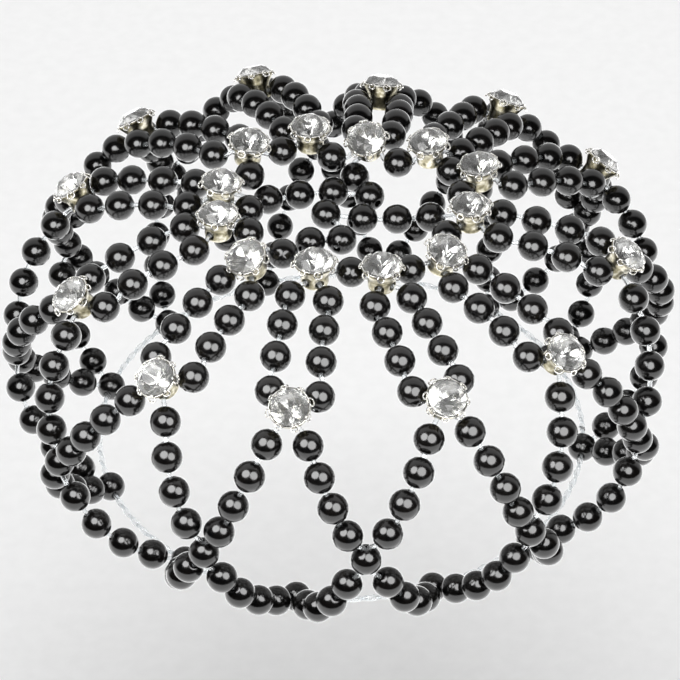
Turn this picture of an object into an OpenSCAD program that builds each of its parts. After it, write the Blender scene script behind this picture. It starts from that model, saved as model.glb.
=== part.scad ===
// Beaded elastic bun net: a wide-meshed dome of round beads on clear elastic cord, with
// 24 round crystals in cross-drilled claw cups.
// Origin: centre of the open mouth, in the plane under the hem beads. +Z points up through
// the closed top. Angles run anticlockwise seen from above, with 0 to the right (+X) and
// 270 to the front.

/* [Beads and cord] */
// Diameter of a round bead
bead_d = 3.9; // [3.8:0.02:3.9]
// Diameter of the clear elastic cord
cord_d = 0.8; // [0.6:0.05:0.8]

/* [Dome] */
// Greatest radius, to the bead centres
dome_r = 42.5; // [42:0.1:44]
// Height of the closed top over the widest ring, to the bead centres
top_rise = 24; // [23:0.1:25]
// Squareness of the upper half of the profile (2 is an ellipse)
top_power = 2.85; // [2.6:0.05:3]
// Depth of the full lower half of the profile, of which the hem cuts off the end
low_depth = 20.6; // [20:0.1:22]
// Squareness of the lower half of the profile
low_power = 2.13; // [2:0.01:2.3]

/* [Net] */
// Radius at which the outer stones sit on the dome
outer_r = 35; // [34.8:0.1:35.4]
// Way along the profile from an outer stone to the node beads
node_step = 18.7; // [18.5:0.1:19]
// Way along the profile from the node beads to the hem beads
hem_step = 19.6; // [19.5:0.1:19.8]
// Distance of a petal's first beads from the line between its two stones
petal_near = 2.4; // [2.35:0.05:2.6]
// Distance of a petal's last beads from the line between its two stones
petal_far = 3; // [2.95:0.05:3.1]
// Way along the profile from an inner stone to the first petal beads
petal_start = 4; // [3.9:0.1:4.2]
// Way along the profile from the last petal beads to the outer stone
petal_end = 2.4; // [2.35:0.05:2.6]
// Half the distance between two leg strands where they leave an outer stone
leg_half = 1; // [0.9:0.1:1.4]
// Half the distance between two strands where they meet at a node bead
node_half = 0.4; // [0.35:0.05:0.45]
// Half the distance between two under strands where they meet a hem bead
hem_half = 0.5; // [0.45:0.05:0.55]
// Least distance between the centres of two beads on a leg or under strand
least_pitch = 3.95; // [3.94:0.01:3.97]
// Height of the beads between the inner stones
ring_z = 38.9; // [38.8:0.1:39]
// Height of the closure hub, to the bead centres
hub_z = 36.1; // [36:0.1:36.3]

/* [Stones and settings] */
// Diameter of a crystal
stone_d = 4.7; // [4.6:0.02:4.72]
// Height of a crystal's girdle over the cord
girdle_z = 2.6; // [2.58:0.01:2.65]
// Depth of a crystal below its girdle
pavilion_h = 1.7; // [1.65:0.05:1.7]
// Height of a crystal above its girdle
crown_h = 0.95; // [0.9:0.05:1.1]
// Diameter of a cup at the cord
cup_d = 3.5; // [3.4:0.02:3.6]
// Diameter of a cup at its rim
rim_d = 5.2; // [5.1:0.02:5.24]
// Diameter of the cord holes through a cup
cross_hole_d = 1.2; // [1.1:0.02:1.24]
// Radius of a pierced claw loop
claw_r = 0.38; // [0.34:0.01:0.4]

/* [Hidden] */
SECTORS = 12;
STRAND_BEADS = 4;

// One row per sector, anticlockwise from the right-hand side. The columns are the inner
// stone's angle, radius, outward tilt and lift along its axis, the outer stone's angle,
// drop along the profile and sink into the dome, the angle and radius of the ring bead that
// follows the inner stone, and the shift and drop of the node bead that follows the outer
// stone.
IN_A = 0;
IN_R = 1;
IN_TILT = 2;
IN_LIFT = 3;
OUT_A = 4;
OUT_DROP = 5;
OUT_SINK = 6;
RING_A = 7;
RING_R = 8;
NODE_SHIFT = 9;
NODE_DROP = 10;
SECTOR_ROWS = [
  [20, 19, -4, 0, 26.5, 2.9, 0, 30.5, 16.5, 1, 2.4],
  [44, 16, -8, 0, 51, -1, 0, 54, 12.6, 0, 0],
  [74, 13, -26, 0, 80, -3.5, 1.8, 96, 11.5, 0, 0],
  [106, 14.5, 0, 0, 109, 0, 0, 121, 14.8, 0, 0],
  [137, 16.5, -8, 0, 138, 0.8, 0, 147.5, 13.9, 0, 0],
  [171.5, 15.5, -4, 0, 165, 0, 0, 179, 11.7, 0, 0],
  [195.5, 16, 0, 0, 201, -0.3, 0, 201, 12.4, -2.7, 0],
  [229, 16.3, 28, 0.9, 232, -0.1, 0, 230, 11.3, 0.9, 0.9],
  [257, 14.3, 0, 0, 260, -1.2, 0, 276, 12.4, -1.4, -1.2],
  [289, 15.5, 0, 0, 291, -1.1, 0, 306, 14.6, -1.8, 0.6],
  [319, 16.6, 20, 0, 319, 0, 0, 339.5, 14.2, -4, -0.6],
  [351.5, 16.5, 0, 0, 353, 0.3, 0, 12, 15.8, 0, 1.4],
];

// Sectors of each quarter of the net
QUARTERS = [["front", [8, 9, 10]], ["right", [11, 12, 1]], ["back", [2, 3, 4]], ["left", [5, 6, 7]]];

// The closure draws the top together: a square hub of four beads, and an arm of beads from
// each corner of the hub to an inner stone. A row holds the stone's sector and the arm's
// beads, from the hub outwards, as X and Y.
HUB_CENTRE = [0.9, 4.8];
HUB_CORNER_R = 3.4;
HUB_TURN = 124;
HUB_SEAM = 45;
ARM_SECTOR = 0;
ARM_BEADS = 1;
ARM_ROWS = [
  [6, [[-5.3, 7], [-9.4, 6]]],
  [9, [[0.1, -2.4], [-3.9, -2.8], [-3.6, -7.6]]],
  [12, [[7.2, 1.9], [11.5, 2.3]]],
  [3, [[1.8, 10.8]]],
];

// Part of the turn from its inner stone to its outer stone that a petal has made at its
// first beads
FIRST_TURN = 0.2;

// Depth to which a cord is buried in a bead, measured from the bead's centre
CORD_CORE = 1.2;
// A cord bends at a small knot outside a cup's hole, and ends inside the cup
KNOT_SWELL = 0.3;
KNOT_D = cord_d + KNOT_SWELL;
KNOT_R = 2.16;
KNOT_CUT = 0.05;
TAIL_R = 0.9;
// Free space between a cord's end and the bead or the cup that it only leads to
CORD_GAP = 0.2;
CUP_GAP = 0.55;
// Cord hole through a hem bead
HEM_HOLE_D = 1.3;
// Length by which a cutter is longer than what it cuts
OVERCUT = 1;

// Cup: floor, foot, wall and seat
FLOOR_Z = -1;
FLOOR_T = 0.32;
FOOT_CUT = 0.3;
FLARE_Z = 0.9;
CHAMBER_R = 1.3;
SEAT_GAP = 0.06;
RIM_DROP = 0.25;
CLAWS = 8;
CLAW_RING_R = 2.7;
CLAW_HOLE_R = 0.17;
CLAW_T = 0.28;
CLAW_LEAN = 25;

// Crystal: flat round its girdle, width of its table and of its point
GIRDLE_T = 0.2;
TABLE_R = 1.35;
CULET_R = 0.3;

function two_digits(k) = str(k < 10 ? "0" : "", k);
function mix(a, b, t) = a + (b - a) * t;
function turn_to(a, b) = (b - a) - 360 * round((b - a) / 360);
function mix_angle(a, b, t) = a + turn_to(a, b) * t;
function arc_degrees(length, r) = length / r * 180 / PI;
function wrap(k) = (k + SECTORS - 1) % SECTORS + 1;
function cell(k, column) = SECTOR_ROWS[wrap(k) - 1][column];
function polar(r, a, z = 0) = [r * cos(a), r * sin(a), z];

// The dome's profile, as radius and height over its widest ring at an angle from 90 at the
// top to -90 at the bottom
function profile(a) =
  a >= 0
  ? [dome_r * pow(cos(a), 2 / top_power), top_rise * pow(sin(a), 2 / top_power)]
  : [dome_r * pow(cos(a), 2 / low_power), -low_depth * pow(-sin(a), 2 / low_power)];

// The same profile by the way along it from the top
PROFILE_STEPS = 360;
function step_angle(i) = 90 - 180 * i / PROFILE_STEPS;
function step_length(i) = i > PROFILE_STEPS ? 0 : norm(profile(step_angle(i)) - profile(step_angle(i - 1)));
WAY = [for (i = 0, way = 0; i <= PROFILE_STEPS; i = i + 1, way = way + step_length(i)) [way, step_angle(i)]];
FALL = [for (row = WAY) [90 - row[1], row[0]]];
SLOPE_STEP = 0.2;
function at_way(way) = profile(lookup(way, WAY));
function way_at_r(r) = lookup(90 - acos(pow(r / dome_r, top_power / 2)), FALL);
function lean_at(way) =
  let (step = at_way(way + SLOPE_STEP) - at_way(way - SLOPE_STEP))
  atan2(-step[1], step[0]);

// The hem beads rest on the plane of the mouth, which sets the height of the widest ring
OUTER_WAY = way_at_r(outer_r);
NODE_WAY = OUTER_WAY + node_step;
HEM_WAY = NODE_WAY + hem_step;
HEM_R = at_way(HEM_WAY)[0];
WIDEST_Z = bead_d / 2 - at_way(HEM_WAY)[1];

function dome_point(way, a, side = 0, lift = 0) =
  let (rz = at_way(way))
  let (lean = lean_at(way))
  polar(rz[0] + lift * sin(lean), a + arc_degrees(side, rz[0]), rz[1] + WIDEST_Z + lift * cos(lean));

// A seat is a stone's place: radius, height, angle and outward tilt of its axis
function seat_on(way, a, tilt, lift = 0) =
  let (rz = at_way(way))
  [rz[0] + lift * sin(tilt), rz[1] + WIDEST_Z + lift * cos(tilt), a, tilt];
function inner_way(k) = way_at_r(cell(k, IN_R));
function outer_way(k) = OUTER_WAY + cell(k, OUT_DROP);
function inner_seat(k) = seat_on(inner_way(k), cell(k, IN_A), cell(k, IN_TILT), cell(k, IN_LIFT));
function outer_seat(k) = seat_on(outer_way(k), cell(k, OUT_A), lean_at(outer_way(k)), -cell(k, OUT_SINK));
function turn_z(p, a) = [p.x * cos(a) - p.y * sin(a), p.x * sin(a) + p.y * cos(a), p.z];
function turn_y(p, a) = [p.x * cos(a) + p.z * sin(a), p.y, p.z * cos(a) - p.x * sin(a)];
function into_seat(seat, p) = turn_y(turn_z(p, -seat[2]) - [seat[0], 0, seat[1]], -seat[3]);
function from_seat(seat, p) = turn_z(turn_y(p, seat[3]) + [seat[0], 0, seat[1]], seat[2]);
function seat_angle(seat, p) = let (q = into_seat(seat, p)) atan2(q.y, q.x);
function seat_side(seat, p, r) = from_seat(seat, polar(r, seat_angle(seat, p)));

// Bead centres
function ring_bead(k) = polar(cell(k, RING_R), cell(k, RING_A), ring_z);
function petal_beads(k, side) =
  let (first = inner_way(k) + petal_start)
  let (last = outer_way(k) - petal_end)
  [
    for (j = [0 : STRAND_BEADS - 1])
    let (t = j / (STRAND_BEADS - 1))
    dome_point(
      mix(first, last, t),
      mix_angle(cell(k, IN_A), cell(k, OUT_A), mix(FIRST_TURN, 1, t)),
      side * mix(petal_near, petal_far, t),
      -cell(k, OUT_SINK) * t
    )
  ];
function node_way(k) = NODE_WAY + cell(k, NODE_DROP);
function node_angle(k) = mix_angle(cell(k, OUT_A), cell(k + 1, OUT_A), 0.5) + cell(k, NODE_SHIFT);
function node_bead(k) = dome_point(node_way(k), node_angle(k));
function hem_bead(k) = dome_point(HEM_WAY, cell(k, OUT_A));
function leg_node(k, side) = side > 0 ? k : k - 1;

// The way over the dome from one end of a strand to the other
function strand_length(way_a, way_b, angle_a, angle_b, shift) =
  let (r = at_way((way_a + way_b) / 2)[0])
  norm([way_b - way_a, r * turn_to(angle_a, angle_b) * PI / 180 + shift]);

// A strand that is longer than its way bows off the dome in a round arc. The result is the
// part of the way and the height over the dome at the part t of the strand.
function bowed(t, length) =
  let (slack = (STRAND_BEADS + 1) * least_pitch)
  slack <= length
  ? [t, 0]
  : let (half_arc = sqrt(6 * (1 - length / slack)))
    let (r = slack / (2 * half_arc))
    let (turn = half_arc * (2 * t - 1) * 180 / PI)
    [0.5 + r * sin(turn) / length, r * (cos(turn) - cos(half_arc * 180 / PI))];

// Beads of a strand that starts at way_a and angle_a, side_a to the side and sunk into the
// dome by sink_a, and ends likewise with no sink
function strand_beads(way_a, way_b, angle_a, angle_b, side_a, side_b, sink_a = 0) =
  let (length = strand_length(way_a, way_b, angle_a, angle_b, side_b - side_a))
  [
    for (j = [1 : STRAND_BEADS])
    let (place = bowed(j / (STRAND_BEADS + 1), length))
    let (t = place[0])
    dome_point(
      mix(way_a, way_b, t),
      mix_angle(angle_a, angle_b, t),
      mix(side_a, side_b, t),
      place[1] - mix(sink_a, 0, t)
    )
  ];
function leg_beads(k, side) =
  let (n = leg_node(k, side))
  let (sink = cell(k, OUT_SINK))
  strand_beads(
    outer_way(k),
    node_way(n),
    cell(k, OUT_A),
    node_angle(n),
    side * leg_half,
    -side * node_half,
    sink
  );
function under_beads(k, side) =
  let (n = leg_node(k, side))
  strand_beads(node_way(n), HEM_WAY, node_angle(n), cell(k, OUT_A), -side * node_half, side * hem_half);
function hub_bead(i) = [HUB_CENTRE.x, HUB_CENTRE.y, hub_z] + polar(HUB_CORNER_R, HUB_TURN + 90 * i);
function arm_beads(i) = [for (p = ARM_ROWS[i][ARM_BEADS]) [p.x, p.y, hub_z]];

// Turns upright children to point along v
module pointing(v) {
  rotate([0, acos(v.z / norm(v)), atan2(v.y, v.x)])
    children();
}

// A round bar from a to b, cut short at each end
module bar(a, b, d, cut_a = 0, cut_b = 0) {
  translate(a)
    pointing(b - a)
      translate([0, 0, cut_a])
        cylinder(h = norm(b - a) - cut_a - cut_b, d = d, $fn = 24);
}

// A bead on a cord along v. Its poles and its seam lie across the cord.
module bead(p, v) {
  color("#141416")
    translate(p)
      pointing(v)
        rotate([90, 0, 0])
          sphere(d = bead_d, $fn = 48);
}

module cord(a, b, cut_a = CORD_CORE, cut_b = CORD_CORE) {
  color("#d5dade")
    bar(a, b, cord_d, cut_a, cut_b);
}

// Beads in a row with the cord between them
module bead_row(beads) {
  last = len(beads) - 1;
  for (i = [0 : last])
    bead(beads[i], beads[min(i + 1, last)] - beads[max(i - 1, 0)]);
  for (i = [1 : last])
    cord(beads[i - 1], beads[i]);
}

// The cord from a bead into a stone's cup, bent at the mouth of the cup's hole
module cord_into(p, seat) {
  knot = seat_side(seat, p, KNOT_R);
  tail = seat_side(seat, p, TAIL_R);
  cord(p, knot, CORD_CORE, KNOT_CUT);
  color("#d5dade")
    translate(knot)
      pointing((knot - p) / norm(knot - p) + (tail - knot) / norm(tail - knot))
        rotate([90, 0, 0])
          sphere(d = KNOT_D, $fn = 24);
  cord(knot, tail, KNOT_CUT, 0);
}

module put_on(seat) {
  rotate([0, 0, seat[2]])
    translate([seat[0], 0, seat[1]])
      rotate([0, seat[3], 0])
        children();
}

// A stone's cup, standing on the cord's plane, with a hole for each of the cords that
// come from the given beads
module cup(seat, beads) {
  seat_top = girdle_z - GIRDLE_T / 2 - SEAT_GAP;
  seat_slope = pavilion_h / (stone_d / 2 - CULET_R);
  seat_low = seat_top - (stone_d / 2 - CHAMBER_R) * seat_slope;
  color("silver")
    put_on(seat)
      difference() {
        union() {
          rotate_extrude($fn = 48)
            polygon([
              [0, FLOOR_Z],
              [cup_d / 2 - FOOT_CUT, FLOOR_Z],
              [cup_d / 2, FLOOR_Z + FOOT_CUT],
              [cup_d / 2, FLARE_Z],
              [rim_d / 2, seat_top - RIM_DROP],
              [rim_d / 2, seat_top],
              [stone_d / 2, seat_top],
              [CHAMBER_R, seat_low],
              [CHAMBER_R, FLOOR_Z + FLOOR_T],
              [0, FLOOR_Z + FLOOR_T],
            ]);
          for (i = [0 : CLAWS - 1])
            claw_place(i, seat_top)
              cylinder(h = CLAW_T, r = claw_r, center = true, $fn = 24);
        }
        for (i = [0 : CLAWS - 1])
          claw_place(i, seat_top)
            cylinder(h = CLAW_T + OVERCUT, r = CLAW_HOLE_R, center = true, $fn = 24);
        for (p = beads)
          rotate([0, 0, seat_angle(seat, p)])
            translate([CHAMBER_R / 2, 0, 0])
              rotate([0, 90, 0])
                cylinder(h = cup_d / 2, d = cross_hole_d, $fn = 24);
      }
}

module claw_place(i, seat_top) {
  rotate([0, 0, (i + 0.5) * 360 / CLAWS])
    translate([CLAW_RING_R, 0, seat_top - CLAW_T / 2])
      rotate([0, CLAW_LEAN, 0])
        children();
}

// A round crystal, in its cup's own place
module crystal(seat) {
  color("#e8eef4")
    put_on(seat)
      translate([0, 0, girdle_z])
        rotate_extrude($fn = 48)
          polygon([
            [0, -GIRDLE_T / 2 - pavilion_h],
            [CULET_R, -GIRDLE_T / 2 - pavilion_h],
            [stone_d / 2, -GIRDLE_T / 2],
            [stone_d / 2, GIRDLE_T / 2],
            [TABLE_R, crown_h],
            [0, crown_h],
          ]);
}

module inner_setting(k) {
  cup(inner_seat(k), [ring_bead(k), ring_bead(k - 1), petal_beads(k, 1)[0], petal_beads(k, -1)[0]]);
}

module outer_setting(k) {
  last = STRAND_BEADS - 1;
  cup(outer_seat(k), [petal_beads(k, 1)[last], petal_beads(k, -1)[last], leg_beads(k, 1)[0], leg_beads(k, -1)[0]]);
}

// One bead on its cord between each pair of inner stones
module ring_strand() {
  for (k = [1 : SECTORS]) {
    centre = ring_bead(k);
    bead(centre, from_seat(inner_seat(k + 1), [0, 0, 0]) - from_seat(inner_seat(k), [0, 0, 0]));
    cord_into(centre, inner_seat(k));
    cord_into(centre, inner_seat(k + 1));
  }
}

// The hub and its four arms, which end beside the cups of their stones
module closure_strands() {
  for (i = [0 : 3]) {
    seat = inner_seat(ARM_ROWS[i][ARM_SECTOR]);
    beads = arm_beads(i);
    last = len(beads) - 1;
    outermost = beads[last];
    color("#141416")
      translate(hub_bead(i))
        rotate([0, 0, HUB_SEAM])
          sphere(d = bead_d, $fn = 48);
    cord(hub_bead(i), hub_bead(i + 1));
    cord(hub_bead(i), beads[0]);
    for (j = [0 : last])
      bead(beads[j], beads[j] - (j > 0 ? beads[j - 1] : hub_bead(i)));
    for (j = [1 : 1 : last])
      cord(beads[j - 1], beads[j]);
    cord(outermost, seat_side(seat, outermost, cup_d / 2 + CUP_GAP), CORD_CORE, 0);
  }
}

module petals(sectors) {
  for (k = sectors, side = [-1, 1]) {
    beads = petal_beads(k, side);
    bead_row(beads);
    cord_into(beads[0], inner_seat(k));
    cord_into(beads[STRAND_BEADS - 1], outer_seat(k));
  }
}

// Leg strands, node beads, under strands and hem beads. The left leg strand of a stone
// carries the node bead, and the other three strands end beside it.
module skirt(sectors) {
  for (k = sectors, side = [-1, 1]) {
    node_centre = node_bead(leg_node(k, side));
    legs = leg_beads(k, side);
    unders = under_beads(k, side);
    carries_node = side > 0;
    bead_row(carries_node ? concat(legs, [node_centre]) : legs);
    cord_into(legs[0], outer_seat(k));
    if (!carries_node)
      cord(legs[STRAND_BEADS - 1], node_centre, CORD_CORE, bead_d / 2 + CORD_GAP);
    bead_row(unders);
    cord(unders[0], node_centre, CORD_CORE, bead_d / 2 + CORD_GAP);
    cord(unders[STRAND_BEADS - 1], hem_bead(k), CORD_CORE, bead_d / 2 + CORD_GAP);
  }
  for (k = sectors)
    hem_bead_drilled(k);
}

module hem_bead_drilled(k) {
  color("#141416")
    translate(hem_bead(k))
      rotate([0, 0, cell(k, OUT_A)])
        difference() {
          sphere(d = bead_d, $fn = 48);
          rotate([90, 0, 0])
            cylinder(h = bead_d + OVERCUT, d = HEM_HOLE_D, center = true, $fn = 24);
        }
}

module hem_elastic() {
  color("#d5dade")
    translate([0, 0, bead_d / 2])
      rotate_extrude($fn = 180)
        translate([HEM_R, 0])
          circle(d = cord_d, $fn = 24);
}

for (k = [1 : SECTORS]) {
  inner_setting(k);
  outer_setting(k);
  crystal(inner_seat(k));
  crystal(outer_seat(k));
}
for (quarter = QUARTERS) {
  petals(quarter[1]);
  skirt(quarter[1]);
}
ring_strand();
closure_strands();
hem_elastic();
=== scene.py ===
import math

import bpy
import numpy as np
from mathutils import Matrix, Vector


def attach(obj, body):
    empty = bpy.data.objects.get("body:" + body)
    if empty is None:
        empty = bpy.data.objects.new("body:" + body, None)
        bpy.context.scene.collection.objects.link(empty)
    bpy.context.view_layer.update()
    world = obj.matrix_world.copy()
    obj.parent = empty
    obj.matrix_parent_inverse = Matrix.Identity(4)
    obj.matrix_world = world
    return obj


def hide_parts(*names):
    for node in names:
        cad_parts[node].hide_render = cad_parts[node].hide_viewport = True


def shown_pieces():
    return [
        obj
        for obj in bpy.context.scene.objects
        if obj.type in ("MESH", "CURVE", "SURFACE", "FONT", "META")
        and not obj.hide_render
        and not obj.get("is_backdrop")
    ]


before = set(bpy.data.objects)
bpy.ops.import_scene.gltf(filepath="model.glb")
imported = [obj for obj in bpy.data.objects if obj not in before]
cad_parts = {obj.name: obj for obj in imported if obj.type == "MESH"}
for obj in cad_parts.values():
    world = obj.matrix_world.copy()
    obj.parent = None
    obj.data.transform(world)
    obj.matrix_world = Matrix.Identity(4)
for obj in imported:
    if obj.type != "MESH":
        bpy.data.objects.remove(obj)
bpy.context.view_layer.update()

# The net's sizes, in millimetres and degrees, as in the CAD source
MM = 0.001
BEAD_D = 3.9
CORD_D = 0.8
DOME_R, TOP_RISE, TOP_POWER = 42.5, 24.0, 2.85
LOW_DEPTH, LOW_POWER = 20.6, 2.13
OUTER_R, NODE_STEP, HEM_STEP = 35.0, 18.7, 19.6
PETAL_NEAR, PETAL_FAR, PETAL_START, PETAL_END = 2.4, 3.0, 4.0, 2.4
LEG_HALF, NODE_HALF, HEM_HALF = 1.0, 0.4, 0.5
LEAST_PITCH = 3.95
RING_Z, HUB_Z = 38.9, 36.1
STONE_D, GIRDLE_Z, GIRDLE_T = 4.7, 2.6, 0.2
PAVILION_H, CROWN_H = 1.7, 0.95
CUP_D, RIM_D, CROSS_HOLE_D = 3.5, 5.2, 1.2
SECTORS, STRAND_BEADS = 12, 4
KNOT_R, TAIL_R = 2.16, 0.9
FIRST_TURN = 0.2
# Columns of the sector table: the inner stone's angle, radius, tilt and lift, the outer
# stone's angle, drop and sink, the ring bead's angle and radius, the node's shift and drop
IN_A, IN_R, IN_TILT, IN_LIFT, OUT_A, OUT_DROP, OUT_SINK, RING_A, RING_R, NODE_SHIFT, NODE_DROP = range(11)
SECTOR_ROWS = [
    [20, 19, -4, 0, 26.5, 2.9, 0, 30.5, 16.5, 1, 2.4],
    [44, 16, -8, 0, 51, -1, 0, 54, 12.6, 0, 0],
    [74, 13, -26, 0, 80, -3.5, 1.8, 96, 11.5, 0, 0],
    [106, 14.5, 0, 0, 109, 0, 0, 121, 14.8, 0, 0],
    [137, 16.5, -8, 0, 138, 0.8, 0, 147.5, 13.9, 0, 0],
    [171.5, 15.5, -4, 0, 165, 0, 0, 179, 11.7, 0, 0],
    [195.5, 16, 0, 0, 201, -0.3, 0, 201, 12.4, -2.7, 0],
    [229, 16.3, 28, 0.9, 232, -0.1, 0, 230, 11.3, 0.9, 0.9],
    [257, 14.3, 0, 0, 260, -1.2, 0, 276, 12.4, -1.4, -1.2],
    [289, 15.5, 0, 0, 291, -1.1, 0, 306, 14.6, -1.8, 0.6],
    [319, 16.6, 20, 0, 319, 0, 0, 339.5, 14.2, -4, -0.6],
    [351.5, 16.5, 0, 0, 353, 0.3, 0, 12, 15.8, 0, 1.4],
]
QUARTERS = {"front": [8, 9, 10], "right": [11, 12, 1], "back": [2, 3, 4], "left": [5, 6, 7]}
HUB_CENTRE, HUB_CORNER_R, HUB_TURN = (0.9, 4.8), 3.4, 124
ARMS = [
    (6, [(-5.3, 7), (-9.4, 6)]),
    (9, [(0.1, -2.4), (-3.9, -2.8), (-3.6, -7.6)]),
    (12, [(7.2, 1.9), (11.5, 2.3)]),
    (3, [(1.8, 10.8)]),
]

# What only the looks need, in millimetres and degrees, and the sides of round shapes
HOLE_R, HOLE_ROUND = 0.46, 0.08
BEAD_SIDES, BEAD_UNEVEN = 28, 0.012
CORD_R = 0.3
PLY_R, PLY_FROM_MIDDLE, PLY_TURNS, PLY_STEPS = 0.24, 0.2, 46, 720
CUP_WALL, CUP_SIDES = 0.26, 40
CROSS_HOLE_SIDES = 18
# Each wire loop's half width, half length and distance from the stone's axis
BIG_LOOP, SMALL_LOOP = (0.5, 0.46, 2.68), (0.4, 0.36, 2.62)
LOOPS, LOOP_POINTS, LOOP_WIRE, LOOP_LEAN, LOOP_DROP = 8, 20, 0.105, 52, 0.1
CLAW_WIRE = 0.085
GIRDLE_WIRE, GIRDLE_WIRE_R, GIRDLE_WIRE_STEPS = 0.08, 2.47, 64
WIRE_SIDES = 8
FLOOR_DROP = 55.0
FLOOR_MIDDLE_R, FLOOR_R = 0.5, 1600.0
FLOOR_RINGS, FLOOR_SIDES = 24, 64

# The photo's frame in pixels, and the camera that was fitted to it
PHOTO_SIDE, FOCAL_LENGTH, SHIFT_RIGHT = 680, 3040, 0.9
CAMERA_RISE, CAMERA_DISTANCE, CAMERA_AIM_Z = 40.36, 400, 17.4
NET_MIDDLE = (0, 0, 20)

# For each bead's size and turn and each stone's turn
rng = np.random.default_rng(7)


# Where things are, worked out as in the CAD source
def cosd(a):
    return math.cos(math.radians(a))


def sind(a):
    return math.sin(math.radians(a))


def point(*xyz):
    return np.array(xyz, float)


def unit(v):
    return v / np.linalg.norm(v)


def mix(a, b, t):
    return a + (b - a) * t


def turn_to(a, b):
    return (b - a) - 360 * round((b - a) / 360)


def mix_angle(a, b, t):
    return a + turn_to(a, b) * t


def cell(k, column):
    return SECTOR_ROWS[(k - 1) % SECTORS][column]


def polar(r, a, z=0.0):
    return point(r * cosd(a), r * sind(a), z)


def about_z(a):
    """The matrix of a turn about Z."""
    return np.array([[cosd(a), -sind(a), 0], [sind(a), cosd(a), 0], [0, 0, 1]])


def profile(a):
    c, s = abs(cosd(a)), sind(a)
    if a >= 0:
        return point(DOME_R * c ** (2 / TOP_POWER), TOP_RISE * s ** (2 / TOP_POWER))
    return point(DOME_R * c ** (2 / LOW_POWER), -LOW_DEPTH * (-s) ** (2 / LOW_POWER))


# The way down the profile from the top, at small steps of its angle
PROFILE_STEPS, SLOPE_STEP = 360, 0.2
STEP_ANGLES = [90 - 180 * i / PROFILE_STEPS for i in range(PROFILE_STEPS + 1)]
STEP_LENGTHS = [np.linalg.norm(profile(a) - profile(b)) for a, b in zip(STEP_ANGLES[1:], STEP_ANGLES[:-1])]
WAYS = np.concatenate([[0.0], np.cumsum(STEP_LENGTHS)])


def at_way(way):
    return profile(float(np.interp(way, WAYS, STEP_ANGLES)))


def way_at_r(r):
    a = math.degrees(math.acos((r / DOME_R) ** (TOP_POWER / 2)))
    return float(np.interp(90 - a, [90 - s for s in STEP_ANGLES], WAYS))


def lean_at(way):
    step = at_way(way + SLOPE_STEP) - at_way(way - SLOPE_STEP)
    return math.degrees(math.atan2(-step[1], step[0]))


OUTER_WAY = way_at_r(OUTER_R)
NODE_WAY = OUTER_WAY + NODE_STEP
HEM_WAY = NODE_WAY + HEM_STEP
HEM_R = at_way(HEM_WAY)[0]
WIDEST_Z = BEAD_D / 2 - at_way(HEM_WAY)[1]


def dome_point(way, a, side=0.0, lift=0.0):
    r, z = at_way(way)
    lean = lean_at(way)
    return polar(r + lift * sind(lean), a + math.degrees(side / r), z + WIDEST_Z + lift * cosd(lean))


def seat_on(way, a, tilt, lift):
    r, z = at_way(way)
    return r + lift * sind(tilt), z + WIDEST_Z + lift * cosd(tilt), a, tilt


def inner_way(k):
    return way_at_r(cell(k, IN_R))


def outer_way(k):
    return OUTER_WAY + cell(k, OUT_DROP)


def inner_seat(k):
    return seat_on(inner_way(k), cell(k, IN_A), cell(k, IN_TILT), cell(k, IN_LIFT))


def outer_seat(k):
    return seat_on(outer_way(k), cell(k, OUT_A), lean_at(outer_way(k)), -cell(k, OUT_SINK))


def seat_frame(seat):
    """The seat's place and its axes as columns."""
    r, z, a, tilt = seat
    about_y = np.array([[cosd(tilt), 0, sind(tilt)], [0, 1, 0], [-sind(tilt), 0, cosd(tilt)]])
    return about_z(a) @ point(r, 0, z), about_z(a) @ about_y


def seat_angle(seat, p):
    origin, axes = seat_frame(seat)
    q = axes.T @ (p - origin)
    return math.degrees(math.atan2(q[1], q[0]))


def seat_side(seat, p, r):
    origin, axes = seat_frame(seat)
    return origin + axes @ polar(r, seat_angle(seat, p))


def ring_bead(k):
    return polar(cell(k, RING_R), cell(k, RING_A), RING_Z)


def petal_beads(k, side):
    first, last = inner_way(k) + PETAL_START, outer_way(k) - PETAL_END
    beads = []
    for j in range(STRAND_BEADS):
        t = j / (STRAND_BEADS - 1)
        a = mix_angle(cell(k, IN_A), cell(k, OUT_A), mix(FIRST_TURN, 1, t))
        apart = side * mix(PETAL_NEAR, PETAL_FAR, t)
        beads.append(dome_point(mix(first, last, t), a, apart, -cell(k, OUT_SINK) * t))
    return beads


def node_way(k):
    return NODE_WAY + cell(k, NODE_DROP)


def node_angle(k):
    return mix_angle(cell(k, OUT_A), cell(k + 1, OUT_A), 0.5) + cell(k, NODE_SHIFT)


def node_bead(k):
    return dome_point(node_way(k), node_angle(k))


def node_down(k):
    """The way down the dome at a node bead."""
    a = node_angle(k)
    return unit(dome_point(node_way(k) + 1, a) - dome_point(node_way(k) - 1, a))


def hem_bead(k):
    return dome_point(HEM_WAY, cell(k, OUT_A))


def leg_node(k, side):
    return k if side > 0 else k - 1


def bowed(t, length):
    """A bead's place along a strand and its lift. A strand longer than its span bows outwards."""
    slack = (STRAND_BEADS + 1) * LEAST_PITCH
    if slack <= length:
        return t, 0.0
    half_arc = math.sqrt(6 * (1 - length / slack))
    r = slack / (2 * half_arc)
    turn = half_arc * (2 * t - 1)
    return 0.5 + r * math.sin(turn) / length, r * (math.cos(turn) - math.cos(half_arc))


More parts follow.
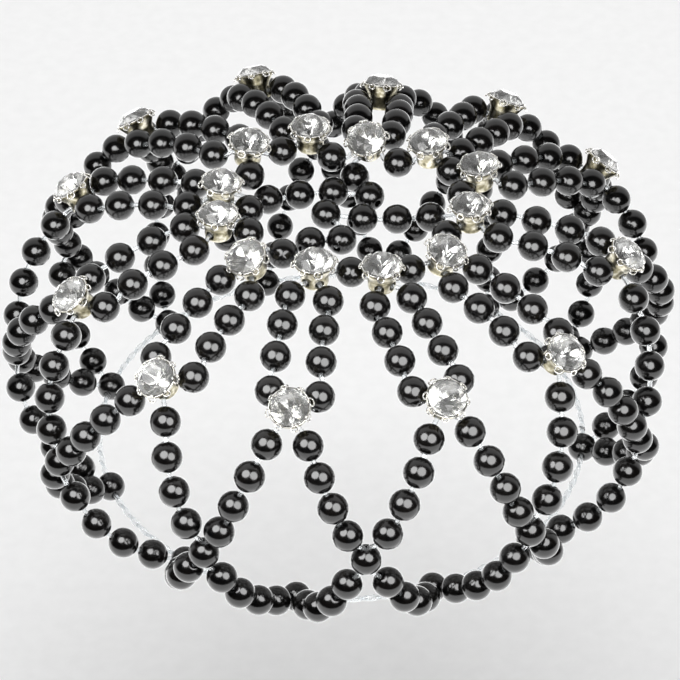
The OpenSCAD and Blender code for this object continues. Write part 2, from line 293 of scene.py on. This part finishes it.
def strand_beads(way_a, way_b, angle_a, angle_b, side_a, side_b, sink_a=0.0):
    r = at_way((way_a + way_b) / 2)[0]
    length = math.hypot(way_b - way_a, r * math.radians(turn_to(angle_a, angle_b)) + side_b - side_a)
    beads = []
    for j in range(1, STRAND_BEADS + 1):
        t, lift = bowed(j / (STRAND_BEADS + 1), length)
        a = mix_angle(angle_a, angle_b, t)
        beads.append(dome_point(mix(way_a, way_b, t), a, mix(side_a, side_b, t), lift - mix(sink_a, 0, t)))
    return beads


def leg_beads(k, side):
    n = leg_node(k, side)
    ends = outer_way(k), node_way(n), cell(k, OUT_A), node_angle(n)
    return strand_beads(*ends, side * LEG_HALF, -side * NODE_HALF, cell(k, OUT_SINK))


def under_beads(k, side):
    n = leg_node(k, side)
    ends = node_way(n), HEM_WAY, node_angle(n), cell(k, OUT_A)
    return strand_beads(*ends, -side * NODE_HALF, side * HEM_HALF)


def hub_bead(i):
    return point(*HUB_CENTRE, HUB_Z) + polar(HUB_CORNER_R, HUB_TURN + 90 * i)


def arm_beads(i):
    return [point(x, y, HUB_Z) for x, y in ARMS[i][1]]


# Materials
def node_adder(tree):
    """A function that adds nodes to a tree. Its links are pairs of a source and a socket."""

    def add(kind, links=(), **values):
        n = tree.nodes.new(kind)
        for key, value in values.items():
            if key in n.inputs:
                n.inputs[key].default_value = value
            else:
                setattr(n, key, value)
        for source, socket in links:
            tree.links.new(source, n.inputs[socket])
        return n

    return add


def new_material(name, base, roughness, metallic=0.0):
    """A Principled material. Returns the material, its shader and a function that adds nodes."""
    m = bpy.data.materials.new(name)
    m.use_nodes = True
    m.diffuse_color = (*base, 1)
    shader = m.node_tree.nodes["Principled BSDF"]
    shader.inputs["Base Color"].default_value = (*base, 1)
    shader.inputs["Roughness"].default_value = roughness
    shader.inputs["Metallic"].default_value = metallic
    return m, shader, node_adder(m.node_tree)


def add_link(shader, source, socket):
    shader.id_data.links.new(source, shader.inputs[socket])


def noise_on(add, place, size_mm, detail):
    """Noise with patches of about that size."""
    n = add("ShaderNodeTexNoise", [(place, "Vector")], Detail=detail)
    n.inputs["Scale"].default_value = 1 / (size_mm * MM)
    return n.outputs["Fac"]


def ramp(add, source, *stops):
    n = add("ShaderNodeValToRGB", [(source, "Fac")])
    while len(n.color_ramp.elements) < len(stops):
        n.color_ramp.elements.new(0.5)
    for e, (at, colour) in zip(n.color_ramp.elements, stops):
        e.position = at
        e.color = (*colour, 1)
    return n.outputs["Color"]


def spread(add, noise, low, high):
    """Values from low to high, over the range that most of a noise lies in."""
    n = add("ShaderNodeMapRange", [(noise, "Value")])
    for socket, v in zip(("From Min", "From Max", "To Min", "To Max"), (0.3, 0.7, low, high)):
        n.inputs[socket].default_value = v
    return n.outputs["Result"]


def bumped(add, shader, source, depth_mm):
    n = add("ShaderNodeBump", [(source, "Height")], Strength=1.0, Distance=depth_mm * MM)
    add_link(shader, n.outputs["Normal"], "Normal")


def bead_material():
    """Glossy black bead: faint cloudiness of the colour, slightly uneven polish, soft dents."""
    m, shader, add = new_material("bead_black", (0.001, 0.001, 0.0011), 0.16)
    place = add("ShaderNodeTexCoord").outputs["Object"]
    cloud = noise_on(add, place, size_mm=1.6, detail=3)
    stops = (0.3, (0.0006, 0.0006, 0.0007)), (0.7, (0.0022, 0.0018, 0.0016))
    add_link(shader, ramp(add, cloud, *stops), "Base Color")
    polish = noise_on(add, place, size_mm=0.5, detail=4)
    add_link(shader, spread(add, polish, 0.13, 0.2), "Roughness")
    bumped(add, shader, noise_on(add, place, size_mm=0.9, detail=1), depth_mm=0.012)
    shader.inputs["IOR"].default_value = 1.52
    return m


def silver_material():
    """Bright plating of the loops and claws, with slightly uneven tone and polish."""
    m, shader, add = new_material("claw_silver", (0.9, 0.89, 0.86), 0.14, 1.0)
    place = add("ShaderNodeTexCoord").outputs["Object"]
    tone = noise_on(add, place, size_mm=0.5, detail=3)
    stops = (0.3, (0.78, 0.76, 0.7)), (0.65, (0.95, 0.94, 0.92))
    add_link(shader, ramp(add, tone, *stops), "Base Color")
    polish = noise_on(add, place, size_mm=0.25, detail=3)
    add_link(shader, spread(add, polish, 0.08, 0.24), "Roughness")
    bumped(add, shader, noise_on(add, place, size_mm=0.12, detail=2), depth_mm=0.006)
    return m


def cup_material():
    """The cup's wall: the same plating, duller and warmer, with dark patches."""
    m, shader, add = new_material("cup_metal", (0.6, 0.55, 0.42), 0.2, 1.0)
    place = add("ShaderNodeTexCoord").outputs["Object"]
    tone = noise_on(add, place, size_mm=0.8, detail=4)
    stops = (0.32, (0.1, 0.09, 0.055)), (0.5, (0.28, 0.255, 0.17)), (0.68, (0.66, 0.63, 0.53))
    add_link(shader, ramp(add, tone, *stops), "Base Color")
    polish = noise_on(add, place, size_mm=0.3, detail=3)
    add_link(shader, spread(add, polish, 0.26, 0.42), "Roughness")
    bumped(add, shader, noise_on(add, place, size_mm=0.16, detail=2), depth_mm=0.01)
    return m


def crystal_material():
    """Clear cut glass, almost evenly polished."""
    m, shader, add = new_material("crystal_glass", (1.0, 1.0, 1.0), 0.0)
    shader.inputs["Transmission Weight"].default_value = 1.0
    shader.inputs["IOR"].default_value = 1.54
    place = add("ShaderNodeTexCoord").outputs["Object"]
    polish = noise_on(add, place, size_mm=0.6, detail=3)
    add_link(shader, spread(add, polish, 0.0, 0.015), "Roughness")
    return m


def foil_material():
    """The mirror foil on a crystal's back."""
    m, shader, add = new_material("crystal_foil", (0.93, 0.93, 0.92), 0.1, 0.88)
    place = add("ShaderNodeTexCoord").outputs["Object"]
    tone = noise_on(add, place, size_mm=0.7, detail=3)
    stops = (0.3, (0.82, 0.81, 0.76)), (0.5, (0.96, 0.96, 0.95))
    add_link(shader, ramp(add, tone, *stops), "Base Color")
    polish = noise_on(add, place, size_mm=1.1, detail=2)
    add_link(shader, spread(add, polish, 0.16, 0.24), "Roughness")
    return m


def cord_material():
    """Clear elastic: nearly all clear, with faint milky patches and a finely uneven skin."""
    m, shader, add = new_material("clear_elastic", (0.93, 0.95, 0.96), 0.1)
    shader.inputs["Transmission Weight"].default_value = 0.92
    shader.inputs["IOR"].default_value = 1.47
    place = add("ShaderNodeTexCoord").outputs["Object"]
    milk = noise_on(add, place, size_mm=0.7, detail=3)
    stops = (0.3, (0.8, 0.84, 0.86)), (0.7, (0.98, 0.99, 1.0))
    add_link(shader, ramp(add, milk, *stops), "Base Color")
    polish = noise_on(add, place, size_mm=0.2, detail=3)
    add_link(shader, spread(add, polish, 0.05, 0.18), "Roughness")
    bumped(add, shader, noise_on(add, place, size_mm=0.15, detail=2), depth_mm=0.015)
    return m


BEAD_BLACK = bead_material()
SILVER = silver_material()
CUP_METAL = cup_material()
GLASS = crystal_material()
FOIL = foil_material()
ELASTIC = cord_material()


# Mesh building, in millimetres
class Mesh:
    """Points and faces that grow bit by bit. Each face has a material's number and is smooth or flat."""

    def __init__(self):
        self.points, self.faces, self.kinds, self.smooth, self.count = [], [], [], [], 0

    def add(self, points, faces, kind=0, smooth=True):
        first = self.count
        self.points.append(np.asarray(points, float))
        self.count += len(points)
        self.add_faces(first, faces, kind, smooth)

    def add_faces(self, first, faces, kind, smooth):
        """Faces on points that are there, counted from the given first one."""
        self.faces.extend([tuple(int(i) + first for i in f) for f in faces])
        self.kinds.extend([kind] * len(faces))
        self.smooth.extend([smooth] * len(faces))

    def build(self, name, materials):
        data = bpy.data.meshes.new(name)
        data.from_pydata((np.concatenate(self.points) * MM).tolist(), [], self.faces)
        for m in materials:
            data.materials.append(m)
        data.polygons.foreach_set("material_index", self.kinds)
        data.polygons.foreach_set("use_smooth", self.smooth)
        data.update()
        obj = bpy.data.objects.new(name, data)
        bpy.context.scene.collection.objects.link(obj)
        return obj


def grid_faces(rows, columns, close_rows=False):
    """Quads of a grid of points numbered row by row, with each row closed."""
    faces = []
    for i in range(rows if close_rows else rows - 1):
        for j in range(columns):
            i2, j2 = (i + 1) % rows, (j + 1) % columns
            faces.append((i * columns + j, i * columns + j2, i2 * columns + j2, i2 * columns + j))
    return faces


def revolved(ring, columns):
    """Points of a closed outline of (radius, height) turned round Z, and their faces."""
    points = [polar(r, 360 * j / columns, z) for r, z in ring for j in range(columns)]
    return np.array(points), grid_faces(len(ring), columns, close_rows=True)


def axes_along(v):
    """Axes as columns, with Z along v."""
    z = unit(v)
    x = np.cross(z, point(0, 0, 1))
    if np.linalg.norm(x) < 1e-6:
        x = point(1, 0, 0)
    x = unit(x)
    return np.stack([x, np.cross(z, x), z], 1)


def tube(path, radius, sides=10, closed=False):
    """A round tube along a path, with a frame carried along so that it doesn't twist."""
    path = np.asarray(path, float)
    n = len(path)
    if closed:
        ways = [unit(path[(i + 1) % n] - path[i - 1]) for i in range(n)]
    else:
        ways = [unit(path[min(i + 1, n - 1)] - path[max(i - 1, 0)]) for i in range(n)]
    x = axes_along(ways[0])[:, 0]
    a = np.arange(sides) * 2 * math.pi / sides
    points = []
    for p, z in zip(path, ways):
        x = unit(x - z * (x @ z))
        y = np.cross(z, x)
        points.append(p + radius * (np.outer(np.cos(a), x) + np.outer(np.sin(a), y)))
    faces = grid_faces(n, sides, close_rows=closed)
    if not closed:
        faces += [tuple(range(sides))[::-1], tuple(range((n - 1) * sides, n * sides))]
    return np.concatenate(points), faces


def rounded(path, times=2):
    """The path with its corners cut, and its ends kept."""
    path = [np.asarray(p, float) for p in path]
    for _ in range(times):
        cut = [path[0]]
        for a, b in zip(path[:-1], path[1:]):
            cut += [mix(a, b, 0.25), mix(a, b, 0.75)]
        path = cut + [path[-1]]
    return path


# Beads: a ball with a drilled, rounded hole
def bead_outline():
    r = BEAD_D / 2
    edge = math.asin((HOLE_R + HOLE_ROUND) / r)
    arc = [(r * math.sin(a), r * math.cos(a)) for a in np.linspace(edge, math.pi - edge, 17)]
    top = arc[0][1]
    lip = [
        (HOLE_R + HOLE_ROUND * (1 - math.sin(a)), top - HOLE_ROUND * (1 - math.cos(a)) * 0.9)
        for a in np.linspace(0, math.pi / 2, 4)[1:]
    ]
    down = [(x, -z) for x, z in lip]
    return arc + down + lip[::-1]


BEAD_POINTS, BEAD_FACES = revolved(bead_outline()[::-1], BEAD_SIDES)


def put_bead(mesh, centre, along):
    size = 1 - BEAD_UNEVEN * rng.random()
    spin = about_z(360 * rng.random())
    mesh.add(centre + size * BEAD_POINTS @ (axes_along(along) @ spin).T, BEAD_FACES)


def threaded(mesh, beads, before, after):
    """Beads on a cord that comes from one point and goes to another. Returns its path through them."""
    path = []
    line = [before, *beads, after]
    for i, centre in enumerate(beads, 1):
        along = unit(line[i + 1] - line[i - 1])
        put_bead(mesh, centre, along)
        path += [centre - along * BEAD_D / 2, centre, centre + along * BEAD_D / 2]
    return path


def into_cup(seat, p):
    """The cord's way into a cup, from outside."""
    return [seat_side(seat, p, mix(KNOT_R, TAIL_R, t)) for t in (0, 0.5, 1)]


def place_piece(mesh, name, materials, node):
    """Builds a finished mesh as a piece in the place of its CAD node."""
    piece = mesh.build(name, materials)
    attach(piece, "root")
    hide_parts(node)


def place_strands(name, node, beads, cords):
    place_piece(beads, f"{name}_beads", [BEAD_BLACK], node)
    place_piece(cords, f"{name}_cord", [ELASTIC], node)


def make_petals(quarter, sectors):
    beads, cords = Mesh(), Mesh()
    for k in sectors:
        for side in (-1, 1):
            line = petal_beads(k, side)
            start, end = into_cup(inner_seat(k), line[0]), into_cup(outer_seat(k), line[-1])
            path = threaded(beads, line, start[0], end[0])
            cords.add(*tube(rounded(start[::-1] + path + end), CORD_R))
    place_strands(f"{quarter}_petal", f"{quarter}_petals", beads, cords)


def make_skirt(quarter, sectors):
    beads, cords = Mesh(), Mesh()
    for k in sectors:
        put_bead(beads, node_bead(k), node_down(k))
        hem = hem_bead(k)
        put_bead(beads, hem, polar(1, cell(k, OUT_A) + 90))
        for side in (-1, 1):
            n = leg_node(k, side)
            node = node_bead(n)
            across = polar(1, node_angle(n) + 90) * CORD_D * 0.25 * -side
            mouth = node_down(n) * BEAD_D / 2
            legs, unders = leg_beads(k, side), under_beads(k, side)
            start = into_cup(outer_seat(k), legs[0])
            path = threaded(beads, legs, start[0], node - mouth)
            cords.add(*tube(rounded(start[::-1] + path + [node - mouth + across, node + across]), CORD_R))
            path = threaded(beads, unders, node + mouth, hem)
            cords.add(*tube(rounded([node + across, node + mouth + across] + path + [hem]), CORD_R))
    place_strands(f"{quarter}_skirt", f"{quarter}_skirt", beads, cords)


def make_ring():
    beads, cords = Mesh(), Mesh()
    for k in range(1, SECTORS + 1):
        p = ring_bead(k)
        start, end = into_cup(inner_seat(k), p), into_cup(inner_seat(k + 1), p)
        path = threaded(beads, [p], start[0], end[0])
        cords.add(*tube(rounded(start[::-1] + path + end), CORD_R))
    place_strands("ring", "ring_strand", beads, cords)


def make_closure():
    beads, cords = Mesh(), Mesh()
    hub = [hub_bead(i) for i in range(4)]
    for i in range(4):
        following = hub[(i + 1) % 4]
        put_bead(beads, hub[i], following - hub[i - 1])
        cords.add(*tube(rounded([hub[i], mix(hub[i], following, 0.5), following]), CORD_R))
        seat, line = inner_seat(ARMS[i][0]), arm_beads(i)
        end = seat_side(seat, line[-1], CUP_D / 2 - 0.1)
        path = threaded(beads, line, hub[i], end)
        cords.add(*tube(rounded([hub[i]] + path + [end]), CORD_R))
    place_strands("closure", "closure_strands", beads, cords)


def make_hem():
    """The hem elastic: two plies laid round each other."""
    cords = Mesh()
    for ply in (0, 1):
        path = []
        for i in range(PLY_STEPS):
            a = 360 * i / PLY_STEPS
            twist = a * PLY_TURNS + 180 * ply
            r = HEM_R + PLY_FROM_MIDDLE * cosd(twist)
            path.append(polar(r, a, BEAD_D / 2 + PLY_FROM_MIDDLE * sind(twist)))
        cords.add(*tube(path, PLY_R, WIRE_SIDES, closed=True))
    place_piece(cords, "hem_cord", [ELASTIC], "hem_elastic")


# Settings: a drilled cup with wire loops, four claws and a wire round the stone's girdle
SEAT_TOP = GIRDLE_Z - GIRDLE_T / 2 - 0.06
METAL_KIND, SILVER_KIND = 0, 1


def cup_outline():
    """Foot, straight wall, flare and rim of the pressed cup, outside and then inside."""
    foot, wall, rim = -1.0, CUP_D / 2, RIM_D / 2
    return [
        (0.02, foot),
        (wall - 0.5, foot),
        (wall - 0.3, foot + 0.03),
        (wall - 0.12, foot + 0.12),
        (wall - 0.03, foot + 0.3),
        (wall, foot + 0.5),
        (wall, 0.75),
        (wall + 0.03, 0.92),
        (wall + 0.12, 1.08),
        (rim - 0.16, SEAT_TOP - 0.4),
        (rim - 0.03, SEAT_TOP - 0.2),
        (rim, SEAT_TOP - 0.08),
        (rim - 0.03, SEAT_TOP - 0.01),
        (rim - 0.1, SEAT_TOP),
        (rim - 0.2, SEAT_TOP - 0.04),
        (rim - 0.28, SEAT_TOP - 0.2),
        (wall - 0.2, 0.95),
        (wall - CUP_WALL, 0.7),
        (wall - CUP_WALL, foot + 0.45),
        (wall - CUP_WALL - 0.15, foot + 0.3),
        (0.02, foot + 0.3),
    ]


CUP_POINTS, CUP_FACES = revolved(cup_outline()[::-1], CUP_SIDES)


def drilled_cup(angles):
    """Points and faces of the cup with a cross hole through its wall at each angle."""
    cup = Mesh()
    cup.add(CUP_POINTS, CUP_FACES)
    body = cup.build("undrilled", [])
    for a in angles:
        cutter = Mesh()
        path = [polar(CUP_D / 2 + from_wall, a) for from_wall in (-0.65, -0.15, 0.35)]
        cutter.add(*tube(path, CROSS_HOLE_D / 2, CROSS_HOLE_SIDES))
        tool = cutter.build("cutter", [])
        cut = body.modifiers.new("hole", "BOOLEAN")
        cut.operation, cut.object, cut.solver = "DIFFERENCE", tool, "EXACT"
        data = bpy.data.meshes.new_from_object(body.evaluated_get(bpy.context.evaluated_depsgraph_get()))
        body.modifiers.clear()
        body.data = data
        bpy.data.objects.remove(tool)
    points = np.zeros(len(body.data.vertices) * 3)
    body.data.vertices.foreach_get("co", points)
    faces = [tuple(f.vertices) for f in body.data.polygons]
    bpy.data.objects.remove(body)
    return points.reshape(-1, 3) / MM, faces


def loop_path(half_width, half_length, centre_r, a):
    """A wire loop beside the girdle that lies outwards and leans down."""
    path = []
    for i in range(LOOP_POINTS):
        t = 360 * i / LOOP_POINTS
        x = centre_r + half_length * cosd(t) * cosd(LOOP_LEAN)
        z = SEAT_TOP - LOOP_DROP - half_length * cosd(t) * sind(LOOP_LEAN)
        path.append((x, half_width * sind(t), z))
    return np.array(path) @ about_z(a).T


def claw_path(a):
    """A short claw from the cup's rim that grips the girdle."""
    side = (-0.1, -0.3), (-0.08, 0.05), (-0.18, 0.24), (-0.36, 0.33)
    return [polar(RIM_D / 2 + from_rim, a, SEAT_TOP + up) for from_rim, up in side]


def add_wires(mesh):
    """Eight loops, large and small by turns, a claw above each large one, and the girdle wire."""
    for i in range(LOOPS):
        a = 360 * (i + 0.5) / LOOPS
        if i % 2 == 0:
            mesh.add(*tube(loop_path(*BIG_LOOP, a), LOOP_WIRE, WIRE_SIDES, closed=True), SILVER_KIND)
            mesh.add(*tube(rounded(claw_path(a), 1), CLAW_WIRE, WIRE_SIDES), SILVER_KIND)
        else:
            mesh.add(*tube(loop_path(*SMALL_LOOP, a), LOOP_WIRE, WIRE_SIDES, closed=True), SILVER_KIND)
    turns = [360 * i / GIRDLE_WIRE_STEPS for i in range(GIRDLE_WIRE_STEPS)]
    wire = [polar(GIRDLE_WIRE_R, a, SEAT_TOP + 0.05) for a in turns]
    mesh.add(*tube(wire, GIRDLE_WIRE, WIRE_SIDES, closed=True), SILVER_KIND)


def make_setting(kind, k, seat, holes):
    """A setting on its seat, drilled towards each of the points in holes."""
    mesh = Mesh()
    mesh.add(*drilled_cup([seat_angle(seat, p) for p in holes]), METAL_KIND)
    add_wires(mesh)
    origin, axes = seat_frame(seat)
    mesh.points = [origin + np.concatenate(mesh.points) @ axes.T]
    place_piece(mesh, f"{kind}_cup_{k:02d}", [CUP_METAL, SILVER], f"{kind}_setting_{k:02d}")


# Crystals: table, star, kite and girdle facets above, kite and girdle facets below
GLASS_KIND, FOIL_KIND = 0, 1


def crystal_solid():
    """The stone's points, and the faces of its clear crown and its foiled back."""
    table_r, mid_r, low_r, point_r = 1.35, 1.9, 1.2, 0.3
    girdle_r = STONE_D / 2
    up, low = GIRDLE_T / 2, -GIRDLE_T / 2
    crown_slope = (CROWN_H - up) / (girdle_r - table_r)
    mid_z = CROWN_H - (mid_r * cosd(22.5) - table_r) * crown_slope
    back_slope = PAVILION_H / (girdle_r - point_r)
    low_z = low - (girdle_r - low_r * cosd(22.5)) * back_slope
    table = [polar(table_r, 45 * i, CROWN_H) for i in range(8)]
    mid = [polar(mid_r, 45 * i + 22.5, mid_z) for i in range(8)]
    rim = [polar(girdle_r, 22.5 * j, up) for j in range(16)]
    belt = [polar(girdle_r, 22.5 * j, low) for j in range(16)]
    pav = [polar(low_r, 45 * i + 22.5, low_z) for i in range(8)]
    tip = [polar(point_r, 45 * i, low - PAVILION_H) for i in range(8)]
    points = table + mid + rim + belt + pav + tip
    # The number of the first point in each of these rings
    t, m, r, b, p, c = 0, 8, 16, 32, 48, 56
    crown, back = [tuple(range(8))], [tuple(c + i for i in range(7, -1, -1))]
    for i in range(8):
        n, h = (i + 1) % 8, (i - 1) % 8
        j, j1, j2 = 2 * i, 2 * i + 1, (2 * i + 2) % 16
        crown += [(t + i, m + i, t + n), (t + i, m + h, r + j, m + i)]
        crown += [(m + i, r + j, r + j1), (m + i, r + j1, r + j2)]
        crown += [(r + j, b + j, b + j1, r + j1), (r + j1, b + j1, b + j2, r + j2)]
        back += [(p + i, b + j1, b + j), (p + i, b + j2, b + j1)]
        back += [(c + i, p + i, b + j, p + h), (c + i, c + n, p + i)]
    return np.array(points), crown, back


CRYSTAL_POINTS, CROWN_FACES, BACK_FACES = crystal_solid()


def make_crystal(kind, k, seat):
    origin, axes = seat_frame(seat)
    spin = about_z(45 * rng.random())
    points = origin + (CRYSTAL_POINTS @ spin.T + point(0, 0, GIRDLE_Z)) @ axes.T
    mesh = Mesh()
    mesh.add(points, CROWN_FACES, GLASS_KIND, smooth=False)
    mesh.add_faces(0, BACK_FACES, FOIL_KIND, smooth=False)
    place_piece(mesh, f"{kind}_stone_{k:02d}", [GLASS, FOIL], f"{kind}_crystal_{k:02d}")


def make_settings():
    last = STRAND_BEADS - 1
    for k in range(1, SECTORS + 1):
        left, right = petal_beads(k, 1), petal_beads(k, -1)
        make_setting("inner", k, inner_seat(k), [ring_bead(k), ring_bead(k - 1), left[0], right[0]])
        legs = leg_beads(k, 1)[0], leg_beads(k, -1)[0]
        make_setting("outer", k, outer_seat(k), [left[last], right[last], *legs])
        make_crystal("inner", k, inner_seat(k))
        make_crystal("outer", k, outer_seat(k))


# Camera, light and floor
def make_camera():
    data = bpy.data.cameras.new("camera")
    camera = bpy.data.objects.new("camera", data)
    bpy.context.scene.collection.objects.link(camera)
    away = point(0, -cosd(CAMERA_RISE), sind(CAMERA_RISE)) * CAMERA_DISTANCE
    camera.location = (point(0, 0, CAMERA_AIM_Z) + away) * MM
    camera.rotation_euler = (math.radians(90 - CAMERA_RISE), 0, 0)
    data.sensor_fit = "HORIZONTAL"
    data.angle = 2 * math.atan(PHOTO_SIDE / 2 / FOCAL_LENGTH)
    data.shift_x = -SHIFT_RIGHT / PHOTO_SIDE
    data.clip_start = 0.02
    bpy.context.scene.camera = camera


def make_lamp(name, place_mm, aim_mm, width_mm, watts, shape="DISK", in_shine=True):
    """An area lamp. One that isn't in the shine isn't seen in gloss or through glass."""
    data = bpy.data.lights.new(name, "AREA")
    data.shape, data.size, data.energy = shape, width_mm * MM, watts
    lamp = bpy.data.objects.new(name, data)
    bpy.context.scene.collection.objects.link(lamp)
    lamp.location = point(*place_mm) * MM
    way = Vector(point(*aim_mm) - point(*place_mm))
    lamp.rotation_euler = way.to_track_quat("-Z", "Y").to_euler()
    lamp.visible_camera = False
    lamp.visible_glossy = lamp.visible_transmission = in_shine
    return lamp


def make_world():
    """Gloss sees dark above on the camera's side, and pale below and behind. The camera sees white."""
    dark_level, below_level, behind_level = 0.02, 2.4, 1.0
    world = bpy.data.worlds.new("studio")
    bpy.context.scene.world = world
    world.use_nodes = True
    world.node_tree.nodes.clear()
    add = node_adder(world.node_tree)
    way = add("ShaderNodeTexCoord").outputs["Generated"]
    parts = add("ShaderNodeSeparateXYZ", [(way, "Vector")])

    def rise(source, start, end):
        """From 0 to 1 as one part of the direction goes from start to end."""
        n = add("ShaderNodeMapRange", [(source, "Value")], interpolation_type="SMOOTHSTEP")
        n.inputs["From Min"].default_value, n.inputs["From Max"].default_value = start, end
        return n.outputs["Result"]

    def reckoned(operation, source, number):
        n = add("ShaderNodeMath", [(source, 0)], operation=operation)
        n.inputs[1].default_value = number
        return n.outputs[0]

    below = reckoned("MULTIPLY", rise(parts.outputs["Z"], start=-0.19, end=-0.27), below_level)
    behind = reckoned("MULTIPLY", rise(parts.outputs["Y"], start=-0.02, end=0.35), behind_level)
    most = add("ShaderNodeMath", [(below, 0), (behind, 1)], operation="MAXIMUM")
    level = reckoned("ADD", most.outputs[0], dark_level)
    surround = add("ShaderNodeBackground", [(level, "Strength")], Color=(1, 1, 1, 1))
    plain = add("ShaderNodeBackground", Color=(1, 1, 1, 1), Strength=1.0)
    seen = add("ShaderNodeLightPath").outputs["Is Camera Ray"]
    both = add("ShaderNodeMixShader", [(seen, 0), (surround.outputs[0], 1), (plain.outputs[0], 2)])
    add("ShaderNodeOutputWorld", [(both.outputs[0], "Surface")])


def make_floor():
    """A wide round floor of pale paper below the net, which is held up at its mouth."""
    mesh = Mesh()
    rings = [FLOOR_MIDDLE_R + FLOOR_R * (i / FLOOR_RINGS) ** 2 for i in range(FLOOR_RINGS + 1)]
    points = [polar(r, 360 * j / FLOOR_SIDES, -FLOOR_DROP) for r in rings for j in range(FLOOR_SIDES)]
    mesh.add(points, grid_faces(len(rings), FLOOR_SIDES) + [tuple(range(FLOOR_SIDES))[::-1]])
    m, shader, add = new_material("floor_paper", (0.86, 0.86, 0.86), 0.9)
    place = add("ShaderNodeTexCoord").outputs["Object"]
    grain = noise_on(add, place, size_mm=2.5, detail=3)
    stops = (0.3, (0.85, 0.85, 0.85)), (0.7, (0.88, 0.88, 0.88))
    add_link(shader, ramp(add, grain, *stops), "Base Color")
    shader.inputs["Specular IOR Level"].default_value = 0.1
    floor = mesh.build("floor", [m])
    floor.visible_glossy = False
    floor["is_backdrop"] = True


make_camera()
make_world()
make_floor()
bead_lamps = [
    make_lamp("lamp_left", (-46, -66, 98), NET_MIDDLE, 84, 0.2),
    make_lamp("lamp_right", (36, -80, 84), NET_MIDDLE, 88, 0.19),
]
# The metal and the stones throw back far more than the beads, so they have weaker lamps
stone_lamps = [
    make_lamp("stone_lamp_left", (-60, -50, 100), NET_MIDDLE, 60, 0.052),
    make_lamp("stone_lamp_right", (36, -96, 70), NET_MIDDLE, 60, 0.04),
    make_lamp("stone_lamp_top", (30, 30, 150), NET_MIDDLE, 60, 0.012),
]
make_lamp("ceiling", (0, 100, 900), (0, 0, 0), 900, 7.5, "SQUARE", in_shine=False)
for quarter, sectors in QUARTERS.items():
    make_petals(quarter, sectors)
    make_skirt(quarter, sectors)
make_ring()
make_closure()
make_hem()
make_settings()

# The near lamps light their own pieces only, and not the floor
for name, lamps, words in (
    ("lit_strands", bead_lamps, ("beads", "cord")),
    ("lit_settings", stone_lamps, ("cup", "stone")),
):
    lit = bpy.data.collections.new(name)
    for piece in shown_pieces():
        if any(word in piece.name for word in words):
            lit.objects.link(piece)
    for lamp in lamps:
        lamp.light_linking.receiver_collection = lit

view = bpy.context.scene.view_settings
view.view_transform = "Standard"
view.look = "None"
